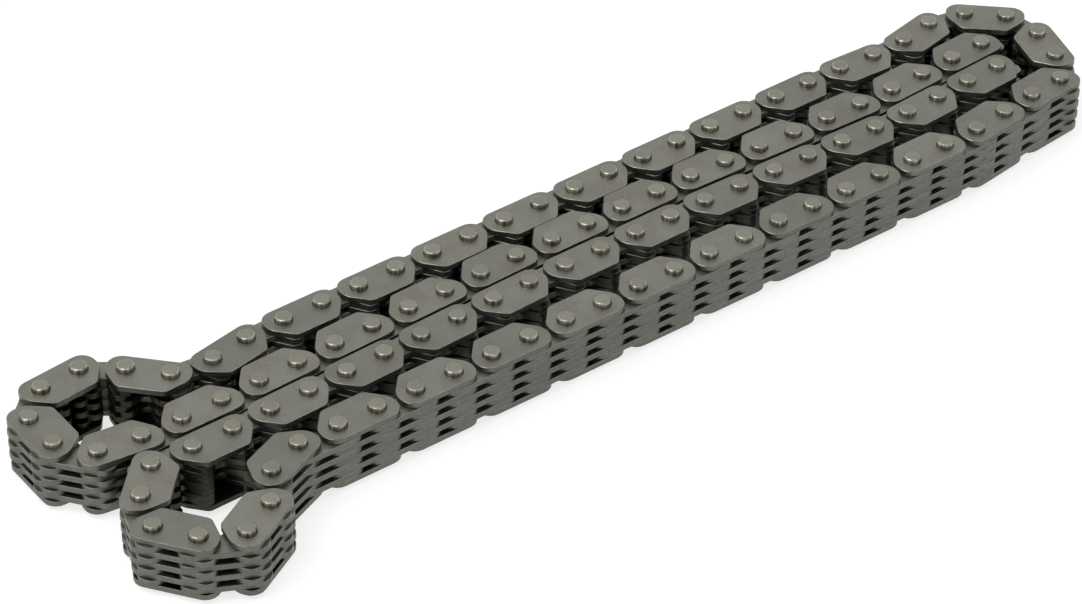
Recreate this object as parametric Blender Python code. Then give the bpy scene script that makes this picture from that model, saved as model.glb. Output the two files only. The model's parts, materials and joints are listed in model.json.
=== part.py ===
# Inverted-tooth timing chain, endless, 112 links, folded into a flat pack as it is sold.
#
# The pins stand upright. Links with an even number are outer links: two guide plates, three
# toothed plates and the two pins pressed into them. Links with an odd number are inner links:
# four toothed plates that turn on the pins of their neighbours. Layer 1 is the lowest plate and
# layer 9 the highest.
# The teeth of every link point to the right of the chain's running direction, which is the
# inside of the endless loop.

import math

import bmesh
import bpy
from mathutils import Vector

MM = 0.001

# Chain
PITCH = 8.0 * MM
LINK_COUNT = 112
LAYER_COUNT = 9
PLATE_THICKNESS = 1.15 * MM
LAYER_GAP = 0.05 * MM

# Plate outline, measured from the line through the two pins
END_GAP = 0.5 * MM
BACK_CORNER_LENGTH = 1.5 * MM
BACK_CORNER_DEPTH = 2.3 * MM
TOOTH_DEPTH = 4.8 * MM
FLANK_START = 0.7 * MM
FLANK_ANGLE = 33.85
TOE_INSET = 0.8 * MM
CROTCH_WIDTH = 2.2 * MM
CROTCH_DEPTH = 1.2 * MM
GUIDE_CORNER_LENGTH = 1.9 * MM
GUIDE_FLANK_START = 1.0 * MM
GUIDE_FLANK_ANGLE = 41.3
GUIDE_INSET = 0.1 * MM
CORE_INSET = 0.05 * MM

# Pins
PIN_RADIUS = 1.45 * MM
PIN_SIDES = 8
PIN_FIT = 0.04 * MM
PIN_HEAD_HEIGHT = 0.95 * MM

# Corners closer than this become one
MERGE_DISTANCE = 0.01 * MM

# Fold of the pack
FOLD_TILT = 70.0
BACK_CLEARANCE = 0.8 * MM
TOOTH_CLEARANCE = 0.3 * MM

# Headings of the links in degrees, as (number of links, heading), in running order
BOW = [(1, 0), (1, 3), (7, 1.5), (5, 0), (5, -2), (1, 0), (3, 3)]
LOOP_A_START = [172, 127, 89, 44, 5]
LOOP_A_NECK_SPLAY = 6.0
LOOP_A_END = [-7, 10, 2]
STRAND_1 = [(16, 0), (1, -3), (1, 1), (1, 11)]
END_LOOP_TOP = [-44, -84]
END_LOOP_BOTTOM = -127
STRAND_4 = [(1, -175), (2, -173), (1, -179), (18, 179.4)]
LOOP_B_START = [-158, -125, -152, 152, 125]
LOOP_B_NECK_SPLAY = 13.0
LOOP_B_END = [-3]

# Derived sizes
END_REACH = (PITCH - END_GAP) / 2
BACK_HEIGHT = (PITCH * math.sin(math.radians(FOLD_TILT)) - BACK_CLEARANCE) / 2
LAYER_STEP = PLATE_THICKNESS + LAYER_GAP
STACK_HEIGHT = LAYER_COUNT * LAYER_STEP - LAYER_GAP
PIN_LENGTH = STACK_HEIGHT + 2 * PIN_HEAD_HEIGHT
TOE_OUTSET = END_REACH - (TOOTH_DEPTH - FLANK_START) * math.tan(math.radians(FLANK_ANGLE))
GUIDE_DEPTH = TOOTH_DEPTH - GUIDE_INSET
GUIDE_TOE_OUTSET = END_REACH - (GUIDE_DEPTH - GUIDE_FLANK_START) * math.tan(
    math.radians(GUIDE_FLANK_ANGLE)
)
HOLE_RADIUS = (PIN_RADIUS + PIN_FIT) / math.cos(math.pi / PIN_SIDES)
GUIDE_LAYERS = (1, LAYER_COUNT)
OUTER_TOOTHED_LAYERS = tuple(range(3, LAYER_COUNT, 2))
INNER_TOOTHED_LAYERS = tuple(range(2, LAYER_COUNT, 2))

# Pin numbers at the starts of the stretches: pin k joins link k - 1 and link k
FIRST_PIN = {'strand_1': 2, 'strand_3': 56, 'strand_2': 80, 'loop_a': 104}
# The two links of the end loop whose headings follow from the rest
FREE_LINKS = (21, 24)


def unit(heading):
    angle = math.radians(heading)
    return Vector((math.cos(angle), math.sin(angle)))


def spread(runs):
    return [heading for count, heading in runs for _ in range(count)]


def walk(pins, first, headings):
    """Place the pins after the first one, one pitch apart."""
    for step, heading in enumerate(headings):
        pin = pins[(first + step) % LINK_COUNT]
        pins[(first + step + 1) % LINK_COUNT] = pin + PITCH * unit(heading)


def walk_back(pins, last, headings):
    """Place the pins before the last one, whose links have these headings in running order."""
    for step, heading in enumerate(reversed(headings)):
        pins[last - step - 1] = pins[last - step] - PITCH * unit(heading)


def neck_headings(rise, other_headings, splay):
    """Headings of two links that make up what is missing of a rise, splay degrees apart."""
    missing = rise / PITCH - sum(unit(heading).y for heading in other_headings)
    middle = math.degrees(math.asin(missing / 2 / math.cos(math.radians(splay))))
    return [middle + splay, middle - splay]


def chain_pins():
    """All pin centres of the folded chain, in running order."""
    strand_2, strand_3 = FIRST_PIN['strand_2'], FIRST_PIN['strand_3']
    loop_a = FIRST_PIN['loop_a']
    pins = {strand_3: Vector((0.0, 0.0))}
    bow = spread(BOW)
    walk(pins, strand_3, bow + [FOLD_TILT])
    walk(pins, strand_2, [180 + heading for heading in reversed(bow)] + [180])

    highest = max(pins[k].y for k in range(strand_2, loop_a + 1))
    lowest = min(pins[k].y for k in range(strand_3, strand_2))
    strand_1_y = highest + 2 * TOOTH_DEPTH + TOOTH_CLEARANCE
    strand_4_y = lowest - 2 * TOOTH_DEPTH - TOOTH_CLEARANCE

    rise = strand_1_y - pins[loop_a].y
    neck = neck_headings(rise, LOOP_A_START + LOOP_A_END, LOOP_A_NECK_SPLAY)
    walk(pins, loop_a, LOOP_A_START + neck + LOOP_A_END)
    walk(pins, FIRST_PIN['strand_1'], spread(STRAND_1))

    rise = pins[strand_3].y - strand_4_y
    neck = neck_headings(rise, LOOP_B_START + LOOP_B_END, LOOP_B_NECK_SPLAY)
    loop_b = LOOP_B_START + neck + LOOP_B_END
    walk_back(pins, strand_3, spread(STRAND_4) + loop_b)

    # Two links of the end loop take up what is left, so that the endless chain closes.
    start = pins[FREE_LINKS[0]]
    end = pins[FREE_LINKS[1] + 2]
    left = (end - start) / PITCH - unit(END_LOOP_BOTTOM)
    for heading in END_LOOP_TOP:
        left -= unit(heading)
    direction = math.degrees(math.atan2(left.y, left.x))
    opening = math.degrees(math.acos(left.length / 2))
    free = [direction + opening] + END_LOOP_TOP + [direction - opening]
    walk(pins, FREE_LINKS[0], free)
    return [pins[k] for k in range(LINK_COUNT)]


def mirrored(half, length):
    """Both ends of an outline that is symmetric about the middle of the plate."""
    return half + [(length - x, y) for x, y in reversed(half)]


def toothed_outline(inset=0.0):
    """Toothed plate, clockwise from the crotch, with the first pin at (0, 0)."""
    half = [
        ((PITCH - CROTCH_WIDTH) / 2, -CROTCH_DEPTH),
        (TOE_INSET, inset - TOOTH_DEPTH),
        (-TOE_OUTSET, inset - TOOTH_DEPTH),
        (-END_REACH, -FLANK_START),
        (-END_REACH, BACK_HEIGHT - BACK_CORNER_DEPTH),
        (BACK_CORNER_LENGTH - END_REACH, BACK_HEIGHT - inset),
    ]
    return mirrored(half, PITCH)


def guide_outline():
    """Guide plate, which has no teeth."""
    half = [
        (-GUIDE_TOE_OUTSET, GUIDE_INSET - TOOTH_DEPTH),
        (-END_REACH, -GUIDE_FLANK_START),
        (-END_REACH, BACK_HEIGHT - BACK_CORNER_DEPTH),
        (GUIDE_CORNER_LENGTH - END_REACH, BACK_HEIGHT - GUIDE_INSET),
    ]
    return mirrored(half, PITCH)


def hole_outline(centre):
    return [
        (
            centre + HOLE_RADIUS * math.cos(2 * math.pi * side / PIN_SIDES),
            HOLE_RADIUS * math.sin(2 * math.pi * side / PIN_SIDES),
        )
        for side in range(PIN_SIDES)
    ]


def is_outer(link):
    return link % 2 == 0


def layer_bottom(layer):
    return PIN_HEAD_HEIGHT + (layer - 1) * LAYER_STEP


class Frame:
    """The place of one link: its first pin, its direction and the normal of its back."""

    def __init__(self, pins, link):
        self.start = pins[link % LINK_COUNT]
        self.along = (pins[(link + 1) % LINK_COUNT] - self.start).normalized()
        self.back = Vector((-self.along.y, self.along.x))

    def place(self, outline):
        return [self.start + x * self.along + y * self.back for x, y in outline]


def chain_centre(pins):
    """Middle of the box round all plates, which becomes the origin."""
    corners = []
    for link in range(LINK_COUNT):
        corners += Frame(pins, link).place(toothed_outline() + guide_outline())
    xs = [corner.x for corner in corners]
    ys = [corner.y for corner in corners]
    return Vector((min(xs) + max(xs), min(ys) + max(ys))) / 2


def flat_solid(name, loops, bottom, top, collection):
    """Extrude a filled outline, with any holes, between two heights."""
    curve = bpy.data.curves.new(name, 'CURVE')
    curve.dimensions = '2D'
    curve.fill_mode = 'BOTH'
    curve.extrude = (top - bottom) / 2
    for loop in loops:
        spline = curve.splines.new('POLY')
        spline.points.add(len(loop) - 1)
        spline.use_cyclic_u = True
        for point, corner in zip(spline.points, loop):
            point.co = (corner[0], corner[1], 0.0, 1.0)
    flat = bpy.data.objects.new(name + '_outline', curve)
    flat.location.z = (top + bottom) / 2
    bpy.context.scene.collection.objects.link(flat)
    depsgraph = bpy.context.evaluated_depsgraph_get()
    mesh = bpy.data.meshes.new_from_object(flat.evaluated_get(depsgraph))
    mesh.transform(flat.matrix_world)
    bpy.data.objects.remove(flat)
    bpy.data.curves.remove(curve)
    for vertex in mesh.vertices:
        vertex.co.z = bottom if vertex.co.z < (bottom + top) / 2 else top
    weld(mesh)
    solid = bpy.data.objects.new(name, mesh)
    collection.objects.link(solid)
    return solid


def weld(mesh):
    shape = bmesh.new()
    shape.from_mesh(mesh)
    bmesh.ops.remove_doubles(shape, verts=shape.verts, dist=MERGE_DISTANCE)
    bmesh.ops.recalc_face_normals(shape, faces=shape.faces)
    shape.to_mesh(mesh)
    shape.free()


def pin_solid(name, centre, bottom, top, collection):
    mesh = bpy.data.meshes.new(name)
    shape = bmesh.new()
    bmesh.ops.create_cone(
        shape,
        cap_ends=True,
        segments=PIN_SIDES,
        radius1=PIN_RADIUS,
        radius2=PIN_RADIUS,
        depth=top - bottom,
    )
    middle = Vector((centre.x, centre.y, (top + bottom) / 2))
    bmesh.ops.translate(shape, verts=shape.verts, vec=middle)
    shape.to_mesh(mesh)
    shape.free()
    solid = bpy.data.objects.new(name, mesh)
    collection.objects.link(solid)
    return solid


def plate_solid(name, frame, outline, holes, layer, collection):
    loops = [frame.place(outline)]
    for centre in holes:
        loops.append(frame.place(hole_outline(centre)))
    bottom = layer_bottom(layer)
    return flat_solid(name, loops, bottom, bottom + PLATE_THICKNESS, collection)


def link_plates(pins, link, holes, collection):
    """The plates of one link, each with the same holes."""
    frame = Frame(pins, link)
    solids = []
    if is_outer(link):
        for layer in GUIDE_LAYERS:
            solids.append(plate_solid('guide', frame, guide_outline(), holes, layer, collection))
    layers = OUTER_TOOTHED_LAYERS if is_outer(link) else INNER_TOOTHED_LAYERS
    for layer in layers:
        solids.append(plate_solid('toothed', frame, toothed_outline(), holes, layer, collection))
    return solids


def core_outline(pins, first, last):
    """Outline from above of the toothed plates of links first to last, which lie close-packed.

    The toes of two neighbours make up one tooth of the chain.
    """
    crotch, _, toe_out, flank, shoulder, back = toothed_outline(CORE_INSET)[:6]
    valley = mirrored([(TOE_OUTSET, toe_out[1]), crotch], PITCH)
    points = Frame(pins, first).place([back, shoulder, flank, toe_out])
    for link in range(first, last + 1):
        points += Frame(pins, link).place(valley)
    far_end = [(PITCH - x, y) for x, y in (toe_out, flank, shoulder, back)]
    points += Frame(pins, last).place(far_end)
    for link in range(last, first, -1):
        points += Frame(pins, link).place([(0.0, back[1])])
    return points


def joined(name, solids, pivot, material, collection):
    """Unite the solids, put the origin at the pivot and remove the separate pieces."""
    parts = bpy.data.collections.new(name + '_pieces')
    bpy.context.scene.collection.children.link(parts)
    base = solids[0]
    for solid in solids[1:]:
        for owner in list(solid.users_collection):
            owner.objects.unlink(solid)
        parts.objects.link(solid)
    union = base.modifiers.new('union', 'BOOLEAN')
    union.operation = 'UNION'
    union.solver = 'EXACT'
    union.operand_type = 'COLLECTION'
    union.collection = parts
    depsgraph = bpy.context.evaluated_depsgraph_get()
    mesh = bpy.data.meshes.new_from_object(base.evaluated_get(depsgraph))
    for solid in solids:
        bpy.data.objects.remove(solid)
    bpy.data.collections.remove(parts)
    return finished(name, mesh, pivot, material, collection)


def finished(name, mesh, pivot, material, collection):
    """Merge flat faces, move the mesh to its pivot and add the object."""
    shape = bmesh.new()
    shape.from_mesh(mesh)
    bmesh.ops.remove_doubles(shape, verts=shape.verts, dist=MERGE_DISTANCE)
    bmesh.ops.dissolve_limit(
        shape,
        angle_limit=math.radians(0.1),
        verts=shape.verts,
        edges=shape.edges,
    )
    bmesh.ops.triangulate(shape, faces=shape.faces)
    bmesh.ops.dissolve_degenerate(shape, dist=MERGE_DISTANCE, edges=shape.edges)
    bmesh.ops.triangulate(shape, faces=shape.faces)
    bmesh.ops.translate(shape, verts=shape.verts, vec=(-pivot.x, -pivot.y, 0.0))
    shape.to_mesh(mesh)
    shape.free()
    mesh.name = name
    mesh.materials.clear()
    mesh.materials.append(material)
    piece = bpy.data.objects.new(name, mesh)
    piece.location = (pivot.x, pivot.y, 0.0)
    collection.objects.link(piece)
    return piece


class Chain:
    """Builds the named pieces of the chain into one collection."""

    def __init__(self):
        pins = chain_pins()
        centre = chain_centre(pins)
        self.pins = [pin - centre for pin in pins]
        self.collection = bpy.data.collections.new('timing_chain')
        bpy.context.scene.collection.children.link(self.collection)
        self.scratch = bpy.data.collections.new('construction')
        bpy.context.scene.collection.children.link(self.scratch)
        self.plate_steel = steel('plate_steel', (0.205, 0.198, 0.175), 0.42)
        self.pin_steel = steel('pin_steel', (0.30, 0.285, 0.235), 0.34)

    def pin(self, number):
        return self.pins[number % LINK_COUNT]

    def full_pin(self, number):
        return pin_solid('pin', self.pin(number), 0.0, PIN_LENGTH, self.scratch)

    def outer_link(self, name, link, pivot_pin):
        """An outer link made as one piece with its two pins."""
        solids = link_plates(self.pins, link, [], self.scratch)
        solids += [self.full_pin(link), self.full_pin(link + 1)]
        return joined(name, solids, self.pin(pivot_pin), self.plate_steel, self.collection)

    def run(self, name, first, last, pivot_pin):
        """A stretch of links that lies still in the pack, made as one piece.

        Only its first and last links are laced with the neighbours, so only these keep the
        gaps between their plates. An inner link at an end turns on its neighbour's pin.
        """
        solids = []
        core = core_outline(self.pins, first + 1, last - 1)
        bottom = layer_bottom(1) + PLATE_THICKNESS
        top = layer_bottom(LAYER_COUNT)
        solids.append(flat_solid('core', [core], bottom, top, self.scratch))
        for link, hole in ((first, 0.0), (last, PITCH)):
            holes = [] if is_outer(link) else [hole]
            solids += link_plates(self.pins, link, holes, self.scratch)
        for link in range(first + 1, last):
            if is_outer(link):
                frame = Frame(self.pins, link)
                for layer in GUIDE_LAYERS:
                    guide = plate_solid('guide', frame, guide_outline(), [], layer, self.scratch)
                    solids.append(guide)
        for link in range(first, last + 1):
            if is_outer(link):
                solids += [self.full_pin(link), self.full_pin(link + 1)]
        return joined(name, solids, self.pin(pivot_pin), self.plate_steel, self.collection)

    def separate(self, name, solid, pivot_pin, material):
        mesh = solid.data
        bpy.data.objects.remove(solid)
        return finished(name, mesh, self.pin(pivot_pin), material, self.collection)

    def separate_plates(self, names, link, pivot_pin):
        """The plates of one link as separate pieces."""
        solids = link_plates(self.pins, link, [0.0, PITCH], self.scratch)
        for name, solid in zip(names, solids):
            self.separate(name, solid, pivot_pin, self.plate_steel)

    def inner_link(self, name, link, pivot_pin):
        """An inner link, whose four plates are held together by nothing but the pins."""
        count = len(INNER_TOOTHED_LAYERS)
        self.separate_plates([f'{name}_plate_{n + 1}' for n in range(count)], link, pivot_pin)

    def outer_link_in_pieces(self, name, link, pivot_pin):
        """An outer link as separate guide plates, toothed plates and pins."""
        count = len(OUTER_TOOTHED_LAYERS)
        names = [f'{name}_guide_low', f'{name}_guide_high']
        names += [f'{name}_plate_{n + 1}' for n in range(count)]
        self.separate_plates(names, link, pivot_pin)
        for n in (0, 1):
            self.separate(f'{name}_pin_{n + 1}', self.full_pin(link + n), pivot_pin, self.pin_steel)

    def open_link(self, name, link):
        """The outer link at the open pivot, as separate plates and one pin.

        Its second pin is left out between the guide plates, which keep its two ends.
        """
        holes = {layer: [0.0, PITCH] for layer in OUTER_TOOTHED_LAYERS}
        holes.update({layer: [0.0] for layer in GUIDE_LAYERS})
        frame = Frame(self.pins, link)
        centre = self.pin(link + 1)
        low = layer_bottom(1) + PLATE_THICKNESS / 2
        high = layer_bottom(LAYER_COUNT) + PLATE_THICKNESS / 2
        ends = {'low': (GUIDE_LAYERS[0], 0.0, low), 'high': (GUIDE_LAYERS[1], high, PIN_LENGTH)}
        for side, (layer, bottom, top) in ends.items():
            guide = plate_solid('guide', frame, guide_outline(), holes[layer], layer, self.scratch)
            end = pin_solid('end', centre, bottom, top, self.scratch)
            pivot = self.pin(link)
            joined(f'{name}_guide_{side}', [guide, end], pivot, self.plate_steel, self.collection)
        for n, layer in enumerate(OUTER_TOOTHED_LAYERS):
            plate = plate_solid('plate', frame, toothed_outline(), holes[layer], layer, self.scratch)
            self.separate(f'{name}_plate_{n + 1}', plate, link, self.plate_steel)
        self.separate(f'{name}_pin_1', self.full_pin(link), link, self.pin_steel)


def steel(name, colour, roughness):
    material = bpy.data.materials.new(name)
    material.use_nodes = True
    shader = material.node_tree.nodes['Principled BSDF']
    shader.inputs['Base Color'].default_value = (*colour, 1.0)
    shader.inputs['Metallic'].default_value = 1.0
    shader.inputs['Roughness'].default_value = roughness
    return material


def clear_scene():
    for item in list(bpy.data.objects):
        bpy.data.objects.remove(item)


def build():
    clear_scene()
    chain = Chain()

    # The two inner strands lie back to back. One link across their ends folds the chain.
    chain.run('strand_3_run', 54, 78, 78)
    chain.run('strand_2_run', 80, 104, 80)
    chain.inner_link('fold_link', 79, 79)

    # Loop A and strand 1 follow strand 2.
    for count in (1, 2, 3):
        inner = 103 + 2 * count
        chain.inner_link(f'loop_a_inner_link_{count}', inner, inner)
        chain.outer_link(f'loop_a_outer_link_{count}', inner + 1, inner + 1)
    chain.run('strand_1_left_run', 111, 120, 111)
    chain.run('strand_1_right_run', 9, 20, 9)

    # The end loop, with one outer link built of its separate pieces.
    chain.inner_link('end_loop_inner_link_1', 21, 21)
    chain.outer_link_in_pieces('end_loop_outer_link_1', 22, 22)
    chain.inner_link('end_loop_inner_link_2', 23, 23)
    chain.open_link('end_loop_open_link', 24)

    # Loop B and strand 4 lead back along strand 3.
    for count in (1, 2):
        inner = 55 - 2 * count
        chain.inner_link(f'loop_b_inner_link_{count}', inner, inner + 1)
        chain.outer_link(f'loop_b_outer_link_{count}', inner - 1, inner)
    chain.run('strand_4_left_run', 38, 49, 50)
    chain.run('strand_4_right_run', 26, 37, 38)
    chain.inner_link('end_loop_inner_link_3', 25, 26)
    bpy.data.collections.remove(chain.scratch)


build()
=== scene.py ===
# Looks of the folded timing chain: all its link plates and pins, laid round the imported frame.
#
# Lengths are in metres. A plate is modelled once, lying on z = 0 with the middle between its
# pins at the origin and its back towards +Y, and is then copied to each link. The chain runs
# with its back on the left. Every second link is an outer link, with guide plates outside.

import json
import math
import random

import bmesh
import bpy
from mathutils import Matrix, Vector


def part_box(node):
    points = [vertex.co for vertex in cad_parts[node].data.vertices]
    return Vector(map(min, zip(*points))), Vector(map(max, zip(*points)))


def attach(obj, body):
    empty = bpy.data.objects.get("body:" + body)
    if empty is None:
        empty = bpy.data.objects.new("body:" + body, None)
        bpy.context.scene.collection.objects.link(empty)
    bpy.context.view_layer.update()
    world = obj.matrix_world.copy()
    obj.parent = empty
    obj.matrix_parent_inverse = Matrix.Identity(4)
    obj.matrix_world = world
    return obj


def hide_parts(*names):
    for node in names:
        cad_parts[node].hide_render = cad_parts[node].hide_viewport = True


MM = 0.001

# Points closer than this lie at one height or place
CLOSE = 0.01 * MM

# Running order of the chain, from the first outer link of strand 4: how the names of the
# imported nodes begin, and how many links they hold
SECTIONS = [
    ("strand_4_right_run", 12),
    ("strand_4_left_run", 12),
    ("loop_b_outer_link_2", 1),
    ("loop_b_inner_link_2", 1),
    ("loop_b_outer_link_1", 1),
    ("loop_b_inner_link_1", 1),
    ("strand_3_run", 25),
    ("fold_link", 1),
    ("strand_2_run", 25),
    ("loop_a_inner_link_1", 1),
    ("loop_a_outer_link_1", 1),
    ("loop_a_inner_link_2", 1),
    ("loop_a_outer_link_2", 1),
    ("loop_a_inner_link_3", 1),
    ("loop_a_outer_link_3", 1),
    ("strand_1_left_run", 10),
    ("strand_1_right_run", 12),
    ("end_loop_inner_link_1", 1),
    ("end_loop_outer_link_1", 1),
    ("end_loop_inner_link_2", 1),
    ("end_loop_open_link", 1),
    ("end_loop_inner_link_3", 1),
]

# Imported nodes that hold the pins, in running order from the first pin of strand 4, and the
# way along X in which their pins follow each other
PIN_NODES = [
    ("strand_4_right_run", -1),
    ("strand_4_left_run", -1),
    ("loop_b_outer_link_2", -1),
    ("loop_b_outer_link_1", -1),
    ("strand_3_run", 1),
    ("strand_2_run", -1),
    ("loop_a_outer_link_1", 1),
    ("loop_a_outer_link_2", 1),
    ("loop_a_outer_link_3", 1),
    ("strand_1_left_run", 1),
    ("strand_1_right_run", 1),
    ("end_loop_outer_link_1_pin_1", 1),
    ("end_loop_outer_link_1_pin_2", 1),
    ("end_loop_open_link_pin_1", 1),
    ("end_loop_open_link_guide_high", 1),
]

# Plate outline, measured from the line through the two pins
BACK_HEIGHT = 3.4 * MM
TOOTH_DEPTH = 4.8 * MM
END_REACH = 3.65 * MM
FLANK_START = 0.7 * MM
TOE_OUTSET = 1.0 * MM
TOE_INSET = 0.8 * MM
CROTCH_WIDTH = 2.2 * MM
CROTCH_DEPTH = 1.2 * MM
GUIDE_FLANK_START = 1.0 * MM
GUIDE_TOE_OUTSET = 0.35 * MM
GUIDE_DEPTH = 4.9 * MM
GUIDE_BACK_INSET = 0.02 * MM
BACK_CORNER = 2.3 * MM
GUIDE_BACK_CORNER = 2.6 * MM
SHOULDER_CORNER = 1.1 * MM
TOE_CORNER = 0.5 * MM
CROTCH_CORNER = 0.7 * MM
RIM = 0.05 * MM
GUIDE_RIM = 0.08 * MM

# How upright a surface's normal is on a plate's flat faces at least, and on its walls at most
FACE_SLOPE = 0.97
WALL_SLOPE = 0.3
PLATE_SMOOTH_ANGLE = math.radians(32.0)

# Pins
PIN_RADIUS = 1.6 * MM
PIN_SIDES = 20
PIN_EDGE = 0.35 * MM
PIN_EDGE_SEGMENTS = 4
PIN_SMOOTH_ANGLE = math.radians(50.0)
HOLE_CLEARANCE = 0.07 * MM
HOLE_SIDES = 16

# How far the painted shade and painted sheen of a pin's side reach up its rounded edge
SIDE_REACH = 1.6

# The pivot that the fold opens keeps its two pin ends only
OPEN_PIN_NODE = "end_loop_open_link_guide_high"

# The strands between the loops, along X
STRANDS_FROM = -78.0 * MM
STRANDS_TO = 96.0 * MM

# Painted shade darkens the plates from here down to their toes, most in the loops at both ends
PAINTED_SHADE_START = -0.5 * MM
PAINTED_SHADE_DEPTH = 1.5 * MM
LOOP_PAINTED_SHADE = 1.0
NEAR_PAINTED_SHADE = 0.6
FAR_PAINTED_SHADE = 0.05

# Play of the plates on their pins, and how far the two middle strands lean to each other
PLAY = 0.02 * MM
LEAN = 0.04 * MM
LEANING_BODY = "folded_strands"

# Most that one plate or pin is darker than another
TONE_SPREAD = 0.55
SEED = 7

# Camera: the point it looks at, its distance, the way it looks and its lens
CAMERA_AIM = Vector((-20.31 * MM, -7.86 * MM, 12.65 * MM))
CAMERA_DISTANCE = 0.651
CAMERA_HEADING = math.radians(52.74)
CAMERA_TILT = math.radians(37.93)
CAMERA_LENS = 123.78
SENSOR_WIDTH = 36.0

# Light
WHITE = (1.0, 1.0, 1.0, 1.0)
AMBIENT = 0.6
LAMP_PLACE = Vector((-0.45, 0.10, 0.95))
LAMP_AIM = Vector((0.0, 0.0, 0.0))
LAMP_SIZE = 0.8
LAMP_POWER = 5.0
FLOOR_SIZE = 6.0
FLOOR_HEIGHT = -0.02 * MM
FLOOR_GLOW = 0.75
FLOOR_COLOUR = (0.35, 0.35, 0.35)
CARD_DISTANCE = 1.0
CARD_WIDTH = 0.4
CARD_HEIGHT = 1.2
CARD_COLOUR = (0.02, 0.02, 0.02)

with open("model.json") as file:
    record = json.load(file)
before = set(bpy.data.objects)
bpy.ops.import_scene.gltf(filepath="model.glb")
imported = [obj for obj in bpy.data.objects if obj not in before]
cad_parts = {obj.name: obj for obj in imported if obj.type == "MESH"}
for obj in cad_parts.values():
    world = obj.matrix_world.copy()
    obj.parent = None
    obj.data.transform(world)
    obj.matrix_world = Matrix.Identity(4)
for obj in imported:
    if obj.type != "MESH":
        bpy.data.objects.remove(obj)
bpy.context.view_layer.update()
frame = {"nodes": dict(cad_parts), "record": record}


def pin_heads(node, way):
    """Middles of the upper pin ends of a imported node, in running order."""
    points = [vertex.co for vertex in frame["nodes"][node].data.vertices]
    top = max(point.z for point in points) - 0.1 * MM
    corners = {(round(p.x, 6), round(p.y, 6)) for p in points if p.z > top}
    one_head = 2.5 * PIN_RADIUS
    heads = []
    for corner in sorted(corners):
        point = Vector(corner)
        near = [head for head in heads if (head[0] - point).length < one_head]
        if near:
            near[0].append(point)
        else:
            heads.append([point])
    middles = [sum(head, Vector((0.0, 0.0))) / len(head) for head in heads]
    return sorted(middles, key=lambda middle: way * middle.x)


def read_pins():
    """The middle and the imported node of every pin, in running order."""
    return [(middle, node) for node, way in PIN_NODES for middle in pin_heads(node, way)]


PINS = read_pins()
PITCH = (PINS[1][0] - PINS[0][0]).length
LEFT_PIN = -PITCH / 2
LEFT_END = -PITCH / 2 - END_REACH
PIN_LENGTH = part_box("end_loop_outer_link_1_pin_1")[1].z
LOWEST_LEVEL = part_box("end_loop_outer_link_1_guide_low")[0].z
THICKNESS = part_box("end_loop_outer_link_1_guide_low")[1].z - LOWEST_LEVEL
LEVEL_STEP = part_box("end_loop_inner_link_1_plate_1")[0].z - LOWEST_LEVEL
LEVEL_COUNT = 9
LOWER_LEVEL = (0,)
UPPER_LEVEL = (LEVEL_COUNT - 1,)
OUTER_LEVELS = tuple(range(2, LEVEL_COUNT - 1, 2))
INNER_LEVELS = tuple(range(1, LEVEL_COUNT - 1, 2))


# Materials

# Painted shade: the steel's colour deep in the pack, where little light reaches
PAINTED_SHADE_COLOUR = (0.052, 0.048, 0.038)


class Nodes:
    """The nodes of a bare metal, added and linked in few words."""

    def __init__(self, name):
        self.material = bpy.data.materials.new(name)
        self.material.use_nodes = True
        self.tree = self.material.node_tree
        self.shader = self.tree.nodes["Principled BSDF"]
        self.shader.inputs["Metallic"].default_value = 1.0

    def add(self, kind, **settings):
        node = self.tree.nodes.new(kind)
        for name, value in settings.items():
            setattr(node, name, value)
        return node

    def link(self, output, target):
        self.tree.links.new(output, target)

    def place(self, scale):
        """Object coordinates, stretched along each axis."""
        coordinates = self.add("ShaderNodeTexCoord")
        mapping = self.add("ShaderNodeMapping")
        mapping.inputs["Scale"].default_value = scale
        self.link(coordinates.outputs["Object"], mapping.inputs["Vector"])
        return mapping.outputs["Vector"]

    def noise(self, scale, detail, stretch=(1.0, 1.0, 1.0)):
        """Noise, with its scale in waves per metre."""
        noise = self.add("ShaderNodeTexNoise")
        noise.inputs["Scale"].default_value = scale
        noise.inputs["Detail"].default_value = detail
        self.link(self.place(stretch), noise.inputs["Vector"])
        return noise.outputs["Fac"]

    def attribute(self, name):
        return self.add("ShaderNodeAttribute", attribute_name=name).outputs["Fac"]

    def painted_shade(self):
        """Painted shade on the surface, as strong as the piece's place in the pack makes it."""
        product = self.add("ShaderNodeMath", operation="MULTIPLY")
        self.link(self.attribute("painted_shade"), product.inputs[0])
        self.link(self.attribute("painted_shade_share"), product.inputs[1])
        return product.outputs["Value"]

    def spread(self, value, low, high, start=0.0, end=1.0):
        """The value's stretch from start to end, spread from low to high."""
        node = self.add("ShaderNodeMapRange")
        node.inputs["From Min"].default_value = start
        node.inputs["From Max"].default_value = end
        node.inputs["To Min"].default_value = low
        node.inputs["To Max"].default_value = high
        self.link(value, node.inputs["Value"])
        return node.outputs["Result"]

    def mix(self, share, first, second):
        """A colour between two others, each a colour or an output."""
        node = self.add("ShaderNodeMix", data_type="RGBA")
        colours = [s for s in node.inputs if s.type == "RGBA"]
        for socket, colour in zip(colours, (first, second)):
            if isinstance(colour, tuple):
                socket.default_value = (*colour, 1.0)
            else:
                self.link(colour, socket)
        self.link(share, node.inputs["Factor"])
        return [s for s in node.outputs if s.type == "RGBA"][0]

    def bump(self, height, strength, distance):
        node = self.add("ShaderNodeBump")
        node.inputs["Strength"].default_value = strength
        node.inputs["Distance"].default_value = distance
        self.link(height, node.inputs["Height"])
        self.link(node.outputs["Normal"], self.shader.inputs["Normal"])

    def surface(self, colour, roughness):
        """Set the colour and the roughness, and hand over the material."""
        self.link(colour, self.shader.inputs["Base Color"])
        self.link(roughness, self.shader.inputs["Roughness"])
        return self.material


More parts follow.
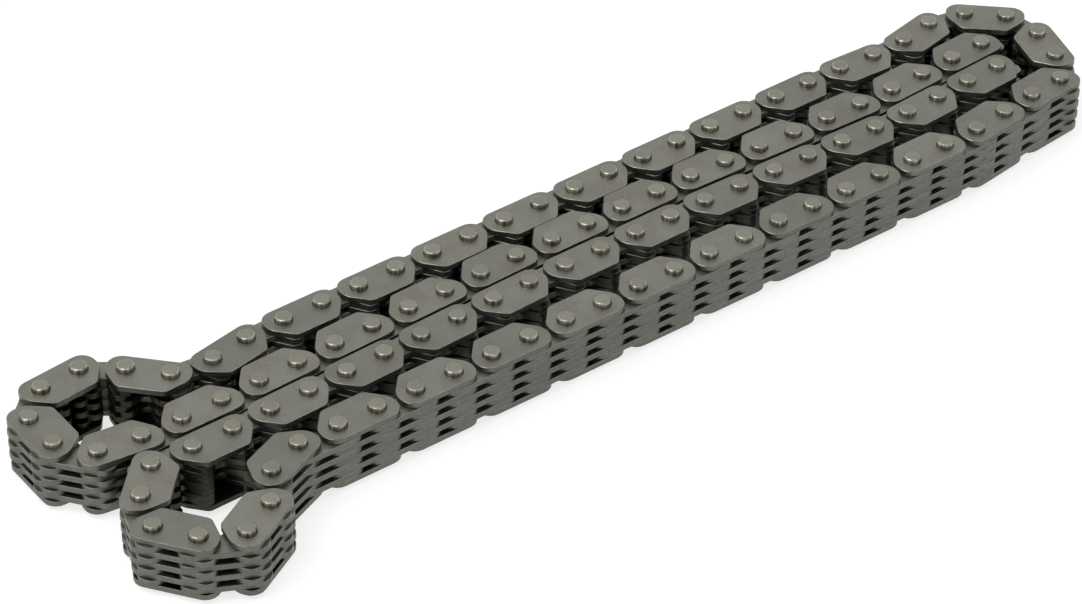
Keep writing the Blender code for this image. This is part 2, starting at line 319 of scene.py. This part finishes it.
def tumbled_steel():
    """Flat face of a plate: satin grey steel, tumbled, with a faint heat tint."""
    warm = (0.168, 0.160, 0.134)
    cool = (0.214, 0.216, 0.188)
    bright = (0.258, 0.256, 0.218)
    dark = (0.148, 0.148, 0.129)
    nodes = Nodes("tumbled_steel")
    patches = nodes.spread(nodes.noise(160.0, 2.0), low=0.0, high=1.0, start=0.3, end=0.7)
    grain = nodes.spread(nodes.noise(2600.0, 3.0), low=0.0, high=0.55, start=0.35, end=0.75)
    grained = nodes.mix(grain, nodes.mix(patches, warm, cool), bright)
    toned = nodes.mix(nodes.attribute("tone"), grained, dark)
    rough = nodes.spread(nodes.noise(900.0, 4.0), low=0.36, high=0.50, start=0.3, end=0.7)
    nodes.bump(nodes.noise(3200.0, 4.0), strength=0.25, distance=0.01 * MM)
    # Painted shade darkens the face deep in the pack.
    return nodes.surface(nodes.mix(nodes.painted_shade(), toned, PAINTED_SHADE_COLOUR), rough)


def sheared_steel():
    """Punched wall of a plate: streaked along the punch's way."""
    low = (0.125, 0.127, 0.112)
    high = (0.190, 0.192, 0.170)
    dark = (0.118, 0.120, 0.106)
    nodes = Nodes("sheared_steel")
    streaks = nodes.noise(5200.0, 3.0, stretch=(1.0, 1.0, 0.08))
    toned = nodes.mix(nodes.attribute("tone"), nodes.mix(streaks, low, high), dark)
    rough = nodes.spread(nodes.noise(1400.0, 3.0), low=0.38, high=0.58, start=0.3, end=0.7)
    nodes.bump(streaks, strength=0.5, distance=0.02 * MM)
    # Painted shade darkens the wall deep in the pack.
    return nodes.surface(nodes.mix(nodes.painted_shade(), toned, PAINTED_SHADE_COLOUR), rough)


def worn_highlit_rim():
    """Rim between face and wall, rubbed by tumbling, with a painted highlight in its brighter
    colour.
    """
    dull = (0.170, 0.168, 0.146)
    # Painted highlight: the rim's brighter colour, spread in patches of wear.
    bright = (0.300, 0.296, 0.260)
    nodes = Nodes("worn_highlit_rim")
    wear_and_highlight = nodes.spread(nodes.noise(700.0, 4.0), low=0.0, high=1.0, start=0.35, end=0.65)
    rough = nodes.spread(nodes.noise(1800.0, 2.0), low=0.25, high=0.42)
    # Painted shade darkens the rim deep in the pack.
    return nodes.surface(nodes.mix(nodes.painted_shade(), nodes.mix(wear_and_highlight, dull, bright), PAINTED_SHADE_COLOUR), rough)


def pin_end_steel():
    """Riveted pin: mottled like the plates, with streaks drawn down its side, where a painted
    shade and a painted sheen stand in for its reflections.
    """
    top_low = (0.204, 0.202, 0.158)
    top_high = (0.284, 0.282, 0.232)
    dark = (0.182, 0.178, 0.142)
    # Painted shade and painted sheen on the pin's side and rounded edge
    pin_side_shade = (0.130, 0.128, 0.102)
    pin_side_sheen = (0.440, 0.432, 0.372)
    nodes = Nodes("pin_end_steel")
    top = nodes.mix(nodes.noise(1500.0, 4.0), top_low, top_high)
    toned = nodes.mix(nodes.attribute("tone"), top, dark)
    drawn = nodes.noise(1800.0, 2.0, stretch=(1.0, 1.0, 0.02))
    streaks = nodes.spread(drawn, low=0.0, high=1.0, start=0.35, end=0.65)
    sided = nodes.mix(nodes.attribute("side"), toned, nodes.mix(streaks, pin_side_shade, pin_side_sheen))
    rough = nodes.spread(nodes.attribute("side"), low=0.40, high=0.36)
    nodes.bump(nodes.noise(3000.0, 4.0), strength=0.3, distance=0.012 * MM)
    return nodes.surface(sided, rough)


# Modelling by hand


def begin(primitive, **settings):
    """Add a primitive with nothing else selected."""
    bpy.ops.object.select_all(action="DESELECT")
    primitive(**settings)
    return bpy.context.object


def select(piece, mode, test):
    """In edit mode, select the vertices, edges or faces that pass a test."""
    bpy.ops.mesh.select_mode(type=mode)
    bpy.ops.mesh.select_all(action="DESELECT")
    shape = bmesh.from_edit_mesh(piece.data)
    items = {"VERT": shape.verts, "EDGE": shape.edges, "FACE": shape.faces}[mode]
    for item in items:
        item.select = test(item)
    shape.select_flush_mode()
    bmesh.update_edit_mesh(piece.data)


def lies_flat(edge):
    return abs(edge.verts[0].co.z - edge.verts[1].co.z) < CLOSE


def round_corner(piece, place, reach, segments):
    """Round the outline's corner at a place, over a reach along both of its sides."""
    corner = Vector((*place, 0.0))
    select(piece, "VERT", lambda vertex: (vertex.co - corner).length < 2 * CLOSE)
    bpy.ops.mesh.bevel(offset=reach, segments=segments, affect="VERTICES")


def cut(piece, point, normal, drop=False):
    """Cut the outline along a line, and drop what lies on the normal's side."""
    bpy.ops.mesh.select_all(action="SELECT")
    bpy.ops.mesh.bisect(
        plane_co=(*point, 0.0),
        plane_no=(*normal, 0.0),
        clear_outer=drop,
    )


def make_one_face():
    bpy.ops.mesh.select_all(action="SELECT")
    bpy.ops.mesh.dissolve_limited(angle_limit=math.radians(0.5))


def half_sheet(name, low, back):
    """A flat half of a plate, from its far left end to its middle."""
    piece = begin(
        bpy.ops.mesh.primitive_plane_add,
        size=1.0,
        location=(LEFT_END / 2, (low + back) / 2, 0.0),
    )
    piece.name = name
    piece.scale = (-LEFT_END, back - low, 1.0)
    bpy.ops.object.transform_apply(location=True, rotation=False, scale=True)
    bpy.ops.object.mode_set(mode="EDIT")
    return piece


def cut_flank(piece, start, toe_outset, toe_y):
    """Cut the slanted flank from below the pin to the toe."""
    top = Vector((LEFT_END, -start))
    toe = Vector((LEFT_PIN - toe_outset, toe_y))
    along = (toe - top).normalized()
    cut(piece, top, (along.y, -along.x), drop=True)
    make_one_face()
    return top, toe


def thicken(piece, rim):
    """Mirror the half, give it the plate's thickness and break its rims."""
    bpy.ops.object.mode_set(mode="OBJECT")
    mirror = piece.modifiers.new("other_half", "MIRROR")
    mirror.merge_threshold = 0.001 * MM
    bpy.ops.object.modifier_apply(modifier=mirror.name)
    bpy.ops.object.mode_set(mode="EDIT")
    make_one_face()
    bpy.ops.mesh.select_all(action="SELECT")
    bpy.ops.mesh.extrude_region_move(TRANSFORM_OT_translate={"value": (0.0, 0.0, THICKNESS)})
    bpy.ops.mesh.select_all(action="SELECT")
    bpy.ops.mesh.normals_make_consistent(inside=False)
    select(piece, "EDGE", lies_flat)
    bpy.ops.mesh.bevel(offset=rim, segments=1, affect="EDGES")
    bpy.ops.object.mode_set(mode="OBJECT")


def drill(piece):
    """Drill the two pin holes."""
    for x in (LEFT_PIN, -LEFT_PIN):
        drill_bit = begin(
            bpy.ops.mesh.primitive_cylinder_add,
            vertices=HOLE_SIDES,
            radius=(PIN_RADIUS + HOLE_CLEARANCE) / math.cos(math.pi / HOLE_SIDES),
            depth=4 * THICKNESS,
            location=(x, 0.0, THICKNESS / 2),
        )
        hole = piece.modifiers.new("hole", "BOOLEAN")
        hole.operation = "DIFFERENCE"
        hole.object = drill_bit
        bpy.context.view_layer.objects.active = piece
        bpy.ops.object.modifier_apply(modifier=hole.name)
        bpy.data.objects.remove(drill_bit)


def finish_steel(piece, materials):
    """Give faces, walls and rims their materials, and shade the round stretches smooth."""
    for material in materials:
        piece.data.materials.append(material)
    for face in piece.data.polygons:
        slope = abs(face.normal.z)
        face.material_index = 0 if slope > FACE_SLOPE else 1 if slope < WALL_SLOPE else 2
    bpy.ops.object.select_all(action="DESELECT")
    piece.select_set(True)
    bpy.context.view_layer.objects.active = piece
    bpy.ops.object.shade_smooth_by_angle(angle=PLATE_SMOOTH_ANGLE)
    return piece


def draw_out_tooth(piece, crotch_x):
    """Draw the left part of the sheet's lower edge out into a tooth that narrows to its toe."""

    def lies_over_tooth(edge):
        ends = [vertex.co for vertex in edge.verts]
        return all(abs(end.y + CROTCH_DEPTH) < CLOSE and end.x < crotch_x + CLOSE for end in ends)

    def is_inner_end(vertex):
        return vertex.co.y < CLOSE - TOOTH_DEPTH and vertex.co.x > crotch_x - CLOSE

    select(piece, "EDGE", lies_over_tooth)
    drop = TOOTH_DEPTH - CROTCH_DEPTH
    bpy.ops.mesh.extrude_region_move(TRANSFORM_OT_translate={"value": (0.0, -drop, 0.0)})
    select(piece, "VERT", is_inner_end)
    toe_in = Vector((LEFT_PIN + TOE_INSET, -TOOTH_DEPTH))
    bpy.ops.transform.translate(value=(toe_in.x - crotch_x, 0.0, 0.0))
    return toe_in


def toothed_plate(materials):
    """Plate with two teeth and the crotch between them."""
    piece = half_sheet("toothed_plate", -CROTCH_DEPTH, BACK_HEIGHT)
    crotch_x = -CROTCH_WIDTH / 2
    cut(piece, (crotch_x, 0.0), (1.0, 0.0))
    toe_in = draw_out_tooth(piece, crotch_x)
    flank, toe_out = cut_flank(piece, FLANK_START, TOE_OUTSET, -TOOTH_DEPTH)
    round_corner(piece, (LEFT_END, BACK_HEIGHT), BACK_CORNER, segments=4)
    round_corner(piece, flank, SHOULDER_CORNER, segments=3)
    round_corner(piece, toe_out, TOE_CORNER, segments=2)
    round_corner(piece, toe_in, TOE_CORNER, segments=2)
    round_corner(piece, (crotch_x, -CROTCH_DEPTH), CROTCH_CORNER, segments=3)
    thicken(piece, RIM)
    drill(piece)
    paint_shade(piece, painted_shade_of_teeth)
    return finish_steel(piece, materials)


def paint_shade(piece, painted_shade_at):
    """Mark how much painted shade each corner of a plate gets."""
    painted_shade = piece.data.attributes.new("painted_shade", "FLOAT", "POINT")
    for vertex, value in zip(piece.data.vertices, painted_shade.data):
        value.value = min(1.0, max(0.0, painted_shade_at(vertex.co)))


# Painted shade grows from below the pins down to the toes.
def painted_shade_of_teeth(point):
    return (PAINTED_SHADE_START - point.y) / PAINTED_SHADE_DEPTH


def painted_shade_of_lowest_plate(point):
    """Painted shade on the upper face, under the other plates, and on the toothed side."""
    covered = point.z > THICKNESS - RIM
    return max(painted_shade_of_teeth(point), float(covered))


def guide_plate(name, materials):
    """Outside plate, which has no teeth."""
    back = BACK_HEIGHT - GUIDE_BACK_INSET
    piece = half_sheet(name, -GUIDE_DEPTH, back)
    flank, toe = cut_flank(piece, GUIDE_FLANK_START, GUIDE_TOE_OUTSET, -GUIDE_DEPTH)
    round_corner(piece, (LEFT_END, back), GUIDE_BACK_CORNER, segments=5)
    round_corner(piece, flank, SHOULDER_CORNER, segments=4)
    round_corner(piece, toe, TOE_CORNER, segments=2)
    thicken(piece, GUIDE_RIM)
    drill(piece)
    return finish_steel(piece, materials)


def chain_pin(name, length, material):
    """Round pin whose ends stand proud of the guide plates, with rounded edges."""
    piece = begin(
        bpy.ops.mesh.primitive_cylinder_add,
        vertices=PIN_SIDES,
        radius=PIN_RADIUS,
        depth=length,
        location=(0.0, 0.0, length / 2),
    )
    piece.name = name
    bpy.ops.object.transform_apply(location=True, rotation=False, scale=False)
    bpy.ops.object.mode_set(mode="EDIT")
    select(piece, "EDGE", lies_flat)
    bpy.ops.mesh.bevel(offset=PIN_EDGE, segments=PIN_EDGE_SEGMENTS, affect="EDGES")
    bpy.ops.object.mode_set(mode="OBJECT")
    side = piece.data.attributes.new("side", "FLOAT", "POINT")
    for vertex, value in zip(piece.data.vertices, side.data):
        inwards = (PIN_RADIUS - vertex.co.xy.length) / PIN_EDGE
        value.value = min(1.0, max(0.0, SIDE_REACH * (1.0 - inwards)))
    piece.data.materials.append(material)
    bpy.ops.object.shade_smooth_by_angle(angle=PIN_SMOOTH_ANGLE)
    return piece


# Laying out


def between_loops(x):
    return STRANDS_FROM < x < STRANDS_TO


def painted_shade_share(place):
    """How much of the painted shade a piece gets at its place in the pack."""
    if not between_loops(place.translation.x):
        return LOOP_PAINTED_SHADE
    return FAR_PAINTED_SHADE if place.translation.y > 0.0 else NEAR_PAINTED_SHADE


def lay(name, master, places, draw):
    """Make one piece of copies of a master, each a little different in tone."""
    shape = bmesh.new()
    tone = shape.faces.layers.float.new("tone")
    share = shape.faces.layers.float.new("painted_shade_share")
    for place in places:
        copy = master.data.copy()
        copy.transform(place)
        old = len(shape.faces)
        shape.from_mesh(copy)
        shape.faces.ensure_lookup_table()
        shade = draw.uniform(0.0, TONE_SPREAD)
        for face in shape.faces[old:]:
            face[tone] = shade
            face[share] = painted_shade_share(place)
        bpy.data.meshes.remove(copy)
    mesh = bpy.data.meshes.new(name)
    shape.to_mesh(mesh)
    shape.free()
    for material in master.data.materials:
        mesh.materials.append(material)
    piece = bpy.data.objects.new(name, mesh)
    bpy.context.scene.collection.objects.link(piece)
    return piece


def link_place(number, level, lean, draw):
    """Where a plate of a link lies, with a little play on its pins."""
    start = PINS[number][0]
    end = PINS[(number + 1) % len(PINS)][0]
    along = (end - start).normalized()
    middle = (start + end) / 2
    middle = middle + Vector((draw.uniform(-PLAY, PLAY), draw.uniform(-PLAY, PLAY)))
    if between_loops(middle.x):
        middle = middle + lean * Vector((-along.y, along.x))
    height = LOWEST_LEVEL + level * LEVEL_STEP
    return Matrix(
        (
            (along.x, -along.y, 0.0, middle.x),
            (along.y, along.x, 0.0, middle.y),
            (0.0, 0.0, 1.0, height),
            (0.0, 0.0, 0.0, 1.0),
        )
    )


def nodes_named(start):
    return sorted(name for name in frame["nodes"] if name.startswith(start))


def body_of_node(node):
    bodies = frame["record"]["behaviour"]["bodies"]
    return next(body for body, nodes in bodies.items() if node in nodes)


def lay_plates(name, master, number, levels, node_start, draw):
    """Lay a link's plates of one kind, as one piece."""
    body = body_of_node(nodes_named(node_start)[0])
    lean = LEAN if body == LEANING_BODY else 0.0
    places = [link_place(number, level, lean, draw) for level in levels]
    piece = lay(name, master, places, draw)
    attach(piece, body)
    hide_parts(*nodes_named(node_start))


def lay_links():
    """Lay the plates of every link."""
    materials = (tumbled_steel(), sheared_steel(), worn_highlit_rim())
    toothed = toothed_plate(materials)
    upper_guide = guide_plate("upper_guide", materials)
    lower_guide = guide_plate("lower_guide", materials)
    paint_shade(lower_guide, painted_shade_of_lowest_plate)
    outer_link = [
        ("upper_guide", upper_guide, UPPER_LEVEL),
        ("lower_guide", lower_guide, LOWER_LEVEL),
        ("outer_plates", toothed, OUTER_LEVELS),
    ]
    inner_link = [("inner_plates", toothed, INNER_LEVELS)]
    draw = random.Random(SEED)
    number = 0
    for node_start, count in SECTIONS:
        for _ in range(count):
            for kind, master, levels in outer_link if number % 2 == 0 else inner_link:
                lay_plates(f"{kind}_{number:03d}", master, number, levels, node_start, draw)
            number += 1
    for master in (toothed, upper_guide, lower_guide):
        bpy.data.objects.remove(master)


def lay_pins():
    """Set a pin in every joint, and two short ends of one at the opened pivot."""
    steel = pin_end_steel()
    whole = chain_pin("chain_pin", PIN_LENGTH, steel)
    end_length = LOWEST_LEVEL + THICKNESS
    end = chain_pin("pin_end", end_length, steel)
    to_upper_end = Matrix.Translation((0.0, 0.0, PIN_LENGTH - end_length))
    draw = random.Random(SEED + 1)
    for number, (middle, node) in enumerate(PINS):
        place = Matrix.Translation((middle.x, middle.y, 0.0))
        master = whole
        places = [place]
        if node == OPEN_PIN_NODE:
            master = end
            places = [place, place @ to_upper_end]
        piece = lay(f"pin_{number:03d}", master, places, draw)
        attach(piece, body_of_node(node))
        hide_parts(node)
    bpy.data.objects.remove(whole)
    bpy.data.objects.remove(end)


# Stage


def seen_or_mirrored(nodes, links):
    """One for camera, glossy and transmission rays, and zero for the rest."""
    path = nodes.new("ShaderNodeLightPath")
    first = nodes.new("ShaderNodeMath")
    first.operation = "MAXIMUM"
    links.new(path.outputs["Is Camera Ray"], first.inputs[0])
    links.new(path.outputs["Is Glossy Ray"], first.inputs[1])
    both = nodes.new("ShaderNodeMath")
    both.operation = "MAXIMUM"
    links.new(first.outputs["Value"], both.inputs[0])
    links.new(path.outputs["Is Transmission Ray"], both.inputs[1])
    return both.outputs["Value"]


def make_world():
    """White all round for the eye and for reflections, and softer as a light."""
    world = bpy.data.worlds.new("studio")
    bpy.context.scene.world = world
    world.use_nodes = True
    nodes, links = world.node_tree.nodes, world.node_tree.links
    soft = nodes["Background"]
    soft.inputs["Color"].default_value = WHITE
    soft.inputs["Strength"].default_value = AMBIENT
    white = nodes.new("ShaderNodeBackground")
    white.inputs["Color"].default_value = WHITE
    white.inputs["Strength"].default_value = 1.0
    mix = nodes.new("ShaderNodeMixShader")
    links.new(seen_or_mirrored(nodes, links), mix.inputs["Fac"])
    links.new(soft.outputs["Background"], mix.inputs[1])
    links.new(white.outputs["Background"], mix.inputs[2])
    links.new(mix.outputs["Shader"], nodes["World Output"].inputs["Surface"])


def make_floor():
    """White floor that keeps a soft shadow."""
    floor = begin(
        bpy.ops.mesh.primitive_plane_add,
        size=FLOOR_SIZE,
        location=(0.0, 0.0, FLOOR_HEIGHT),
    )
    floor.name = "floor"
    material = bpy.data.materials.new("floor_white")
    material.use_nodes = True
    nodes, links = material.node_tree.nodes, material.node_tree.links
    shader = nodes["Principled BSDF"]
    shader.inputs["Base Color"].default_value = (*FLOOR_COLOUR, 1.0)
    shader.inputs["Roughness"].default_value = 0.9
    shader.inputs["Emission Color"].default_value = WHITE
    glow = nodes.new("ShaderNodeMath")
    glow.operation = "MULTIPLY"
    glow.inputs[1].default_value = FLOOR_GLOW
    links.new(seen_or_mirrored(nodes, links), glow.inputs[0])
    links.new(glow.outputs["Value"], shader.inputs["Emission Strength"])
    floor.data.materials.append(material)


def make_card():
    """Dark strip behind the camera, which shows only as a line in the round edges."""
    ahead = camera_direction()
    place = CAMERA_AIM - CARD_DISTANCE * ahead
    card = begin(bpy.ops.mesh.primitive_plane_add, size=1.0, location=place)
    card.name = "dark_card"
    card.scale = (CARD_WIDTH, CARD_HEIGHT, 1.0)
    card.rotation_euler = turned_to(ahead)
    material = bpy.data.materials.new("card_black")
    material.use_nodes = True
    shader = material.node_tree.nodes["Principled BSDF"]
    shader.inputs["Base Color"].default_value = (*CARD_COLOUR, 1.0)
    shader.inputs["Roughness"].default_value = 1.0
    card.data.materials.append(material)
    card.visible_camera = False
    card.visible_diffuse = False
    card.visible_shadow = False


def make_lamp():
    """A large soft lamp overhead, a little to the left of the camera."""
    light = bpy.data.lights.new("overhead", "AREA")
    light.shape = "DISK"
    light.size = LAMP_SIZE
    light.energy = LAMP_POWER
    lamp = bpy.data.objects.new("overhead", light)
    bpy.context.scene.collection.objects.link(lamp)
    lamp.location = LAMP_PLACE
    lamp.rotation_euler = turned_to(LAMP_AIM - LAMP_PLACE)


def turned_to(ahead):
    """Turn of a card, lamp or camera that faces this way."""
    return ahead.to_track_quat("-Z", "Y").to_euler()


def camera_direction():
    """The way the camera looks."""
    flat = math.cos(CAMERA_TILT)
    heading = CAMERA_HEADING
    return Vector((math.cos(heading) * flat, math.sin(heading) * flat, -math.sin(CAMERA_TILT)))


def make_camera():
    data = bpy.data.cameras.new("camera")
    camera = bpy.data.objects.new("camera", data)
    bpy.context.scene.collection.objects.link(camera)
    ahead = camera_direction()
    camera.location = CAMERA_AIM - CAMERA_DISTANCE * ahead
    camera.rotation_euler = turned_to(ahead)
    data.lens = CAMERA_LENS
    data.sensor_width = SENSOR_WIDTH
    data.clip_start = 0.01
    data.clip_end = 50.0
    bpy.context.scene.camera = camera


make_camera()
make_world()
make_floor()
make_card()
make_lamp()
lay_links()
lay_pins()
bpy.context.scene.view_settings.view_transform = "Standard"
